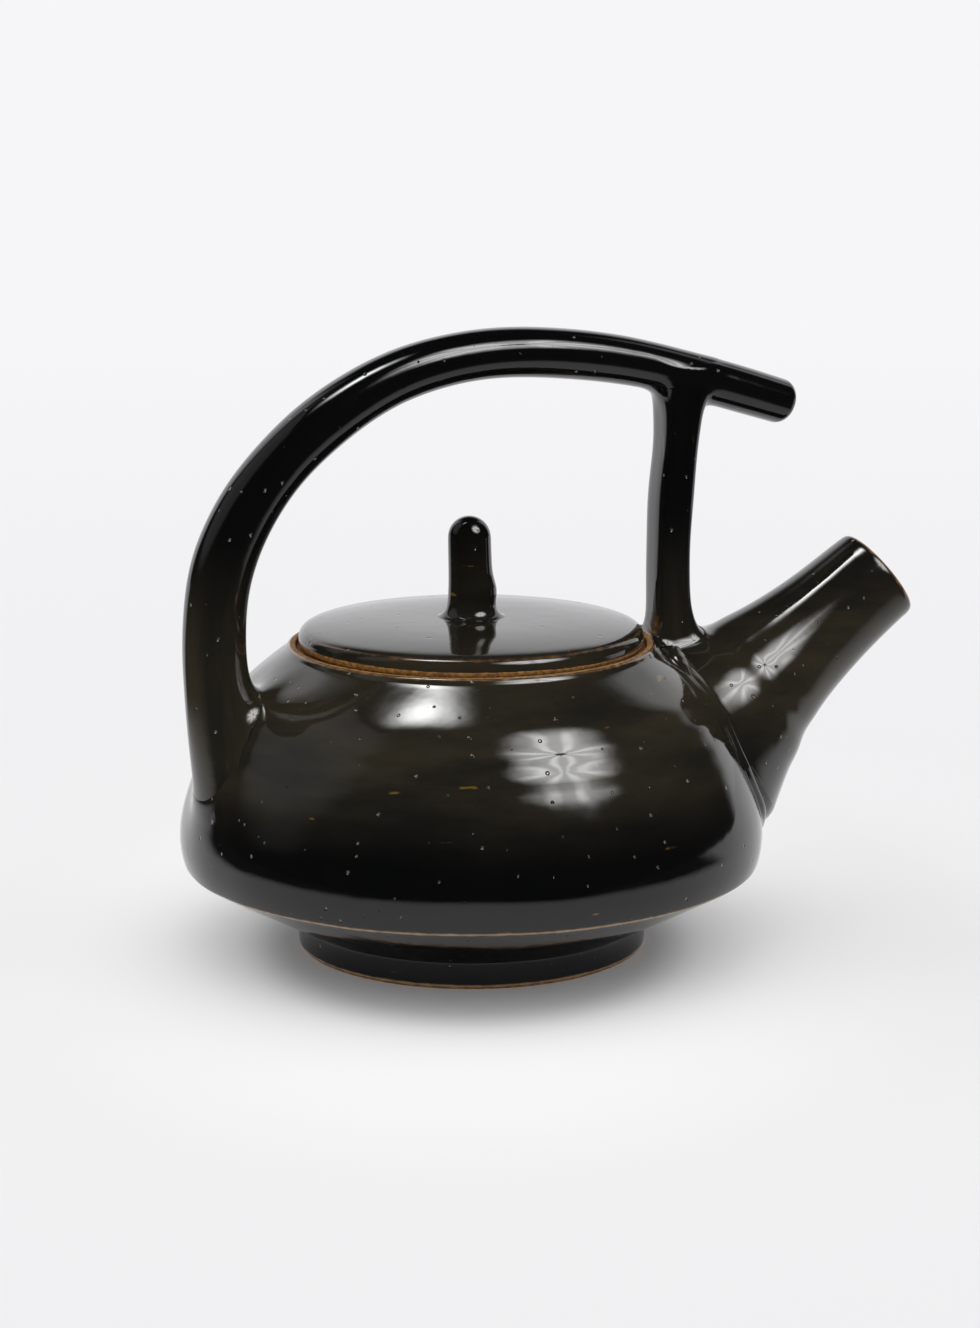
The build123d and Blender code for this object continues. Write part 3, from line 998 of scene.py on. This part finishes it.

# %% [markdown]
# ## The studio
# A glossy black pot shows little but its surroundings, so the surroundings are the lighting: a
# pale table that ends not far in front of the pot, a white wall behind it that reaches about
# fifty degrees to either side, a faint window high on the left, darkness elsewhere, a soft box
# overhead and a lit umbrella in front on the right.  That room is only what the glaze mirrors.
# An even white one and a wide, weak sun light the table, and more light is painted into the
# table round the pot.  The lamps are cards that nothing but a reflection sees, and the camera
# sees a plain backdrop.

# %% Camera
camera_place = Vector((-225.8, -755.0, 238.3)) * mm
look_side = math.radians(17.0)
look_down = math.radians(11.84)
ahead = Vector((math.sin(look_side), math.cos(look_side), 0))
right = Vector((math.cos(look_side), -math.sin(look_side), 0))
camera_data = bpy.data.cameras.new("camera")
camera_data.lens = 85.0
camera_data.sensor_width = 36.0
camera = bpy.data.objects.new("camera", camera_data)
camera.location = camera_place
look = ahead * math.cos(look_down) - Vector((0, 0, math.sin(look_down)))
camera.rotation_euler = look.to_track_quat("-Z", "Y").to_euler()
scene.collection.objects.link(camera)
scene.camera = camera

# %% Table
backdrop_color = (0.922, 0.913, 0.939, 1)
corners = [(-4, -0.30), (4, -0.30), (4, 9), (-4, 9)]
table = plain_mesh("table", [right * x + ahead * y for x, y in corners], [(0, 1, 2, 3)])
paper = bpy.data.materials.new("white_table")
paper.use_nodes = True
tree = paper.node_tree
paper_shader = tree.nodes["Principled BSDF"]
paper_shader.inputs["Roughness"].default_value = 0.7
paper_shader.inputs["Specular IOR Level"].default_value = 0.0
place = node(tree, "ShaderNodeTexCoord").outputs["Object"]
depth = along(tree, place, ahead)
breadth = along(tree, place, right)
around = reach_of(tree, place)
# Painted light: the paper is paler within 0.10 m of the pot's axis and greyer past 0.28 m, a pool of light
# painted round the pot.
painted_pool_share = ramp(tree, around, 0.10, 0.28)
paper_and_painted_pool = blend(tree, painted_pool_share, (0.90, 0.897, 0.907, 1), (0.845, 0.845, 0.857, 1))
tree.links.new(paper_and_painted_pool, paper_shader.inputs["Base Color"])

# %% Painted light: the table glows in a ring round the pot, which lightens the edge of its shadow
flat = node(tree, "ShaderNodeCombineXYZ", {"X": breadth, "Y": product(tree, depth, 0.75)}).outputs["Vector"]
round_pot = reach_of(tree, flat)
# Painted light: a white glow from about 46 to 140 mm round the pot, stretched front to back, lifts the
# pot's shadow on the table.
near = product(tree, ramp(tree, round_pot, 0.046, 0.062), ramp(tree, round_pot, 0.14, 0.06))
tree.links.new(product(tree, near, 0.14), paper_shader.inputs["Emission Strength"])
paper_shader.inputs["Emission Color"].default_value = (1.0, 1.0, 1.0, 1)
far_light = node(tree, "ShaderNodeEmission", {"Color": backdrop_color, "Strength": 1.0})
sweep = mix_shaders(tree, ramp(tree, depth, 0.3, 1.6), paper_shader, far_light)

# %% The glaze mirrors the table only near the pot, and in a sector behind it
sector_middle = math.radians(12)
turned_away = reckon(tree, "ARCTAN2", breadth, depth)
turned_away = reckon(tree, "ABSOLUTE", reckon(tree, "SUBTRACT", turned_away, sector_middle))
outside_sector = ramp(tree, turned_away, math.radians(64), math.radians(74))
unlit = product(tree, ramp(tree, around, 0.20, 0.33), outside_sector)
mirrored = node(tree, "ShaderNodeLightPath").outputs["Is Glossy Ray"]
dim = node(tree, "ShaderNodeEmission", {"Strength": 0.03})
table_shader = mix_shaders(tree, product(tree, unlit, mirrored), sweep, dim)
tree.links.new(table_shader.outputs[0], tree.nodes["Material Output"].inputs["Surface"])
table.data.materials.append(paper)

# %% Lamps
def lit_card(name, aim, distance, outline, glow):
    """Card that faces the pot, shines in a pattern of its two directions, and only reflections see."""
    middle = Vector(aim).normalized() * distance
    inward = -middle.normalized()
    across = (right - right.dot(inward) * inward).normalized()
    upwards = inward.cross(across)
    corners = [middle + across * x + upwards * y for x, y in outline]
    card = plain_mesh(name, corners, [tuple(range(len(corners)))])
    material = bpy.data.materials.new(name)
    material.use_nodes = True
    tree = material.node_tree
    tree.nodes.clear()
    place = node(tree, "ShaderNodeTexCoord").outputs["Object"]
    off = node(tree, "ShaderNodeVectorMath", {0: place, 1: tuple(middle)}, operation="SUBTRACT").outputs[0]
    x, y = along(tree, off, across), along(tree, off, upwards)
    light = node(tree, "ShaderNodeEmission", {"Strength": glow(tree, x, y)})
    output = node(tree, "ShaderNodeOutputMaterial")
    tree.links.new(light.outputs["Emission"], output.inputs["Surface"])
    card.data.materials.append(material)
    card.visible_camera = False
    card.visible_diffuse = False
    return card


def box_glow(tree, x, y):
    """Soft box: brightest in the middle, and falling off towards all four sides."""
    power = box_strength
    for off, half in ((x, box_half[0]), (y, box_half[1])):
        fall = ramp(tree, reckon(tree, "ABSOLUTE", off), half, 0.0)
        power = product(tree, product(tree, fall, fall), power)
    return power


def umbrella_glow(tree, x, y):
    """Umbrella: bright rays between its ribs, a dark hub, and dimmer cloth towards the edge."""
    turns = product(tree, reckon(tree, "ARCTAN2", y, x), float(umbrella_ribs))
    rays = reckon(tree, "COSINE", turns)
    flat = node(tree, "ShaderNodeCombineXYZ", {"X": x, "Y": y}).outputs["Vector"]
    out = reach_of(tree, flat)
    cloth = span(tree, rays, 0.55, low=-0.2)
    core = ramp(tree, out, umbrella_hub, umbrella_hub * 1.8)
    fall = ramp(tree, out, umbrella_radius, 0.35 * umbrella_radius)
    return product(tree, cloth, core, fall, umbrella_strength)


def wide_sun(name, aim, strength, spread):
    """Light from a wide patch of sky, for soft shadows on the table, unseen in the glaze."""
    data = bpy.data.lights.new(name, "SUN")
    data.energy = strength
    data.angle = spread
    lamp = bpy.data.objects.new(name, data)
    lamp.rotation_euler = Vector(aim).to_track_quat("Z", "Y").to_euler()
    lamp.visible_glossy = False
    scene.collection.objects.link(lamp)
    return lamp


box_half = (0.30, 0.20)
box_strength = 26.0
box_corners = ((-1, -1), (1, -1), (1, 1), (-1, 1))
box_outline = [(x * box_half[0], y * box_half[1]) for x, y in box_corners]
umbrella_radius = 0.54
umbrella_hub = 0.03
umbrella_ribs = 8
umbrella_strength = 15.0
umbrella_turns = [math.pi * k / 24 for k in range(48)]
umbrella_outline = [(umbrella_radius * math.cos(a), umbrella_radius * math.sin(a)) for a in umbrella_turns]
lit_card("overhead_box", (-0.218, 0.02, 0.97), 1.0, box_outline, box_glow)
lit_card("umbrella_front", (0.365, -0.562, 0.742), 1.25, umbrella_outline, umbrella_glow)
wide_sun("ceiling", (-0.15, 0.0, 0.98), 0.15, math.radians(80))

# %% Surroundings
world = bpy.data.worlds.new("studio")
scene.world = world
world.use_nodes = True
tree = world.node_tree
tree.nodes.clear()
way = node(tree, "ShaderNodeTexCoord").outputs["Generated"]
upward = node(tree, "ShaderNodeSeparateXYZ", {"Vector": way}).outputs["Z"]
azimuth = reckon(tree, "ARCTAN2", along(tree, way, right), along(tree, way, ahead))
aside = reckon(tree, "ABSOLUTE", azimuth)
wall_share = ramp(tree, aside, math.radians(54), math.radians(44))
wall_share = product(tree, wall_share, ramp(tree, upward, 0.84, 0.62))
above = product(tree, ramp(tree, upward, 0.42, 0.66), ramp(tree, aside, math.radians(42), math.radians(30)))
wall_share = product(tree, wall_share, reckon(tree, "SUBTRACT", 1.0, above))
window_aim = ahead * 0.03 - right * 0.79 + Vector((0, 0, 0.61))
window = product(tree, ramp(tree, along(tree, way, window_aim), 0.84, 0.95), 0.3)
wall_light = span(tree, reckon(tree, "ADD", wall_share, window), 0.015, 1.12)
surround = node(tree, "ShaderNodeBackground", {"Color": (0.98, 0.98, 1.0, 1), "Strength": wall_light})
backdrop = node(tree, "ShaderNodeBackground", {"Color": backdrop_color, "Strength": 1.0})
filling = node(tree, "ShaderNodeBackground", {"Color": (1, 1, 1, 1), "Strength": 1.0})
rays = node(tree, "ShaderNodeLightPath").outputs
mixed = mix_shaders(tree, rays["Is Diffuse Ray"], surround, filling)
mixed = mix_shaders(tree, rays["Is Camera Ray"], mixed, backdrop)
output = node(tree, "ShaderNodeOutputWorld")
tree.links.new(mixed.outputs[0], output.inputs["Surface"])
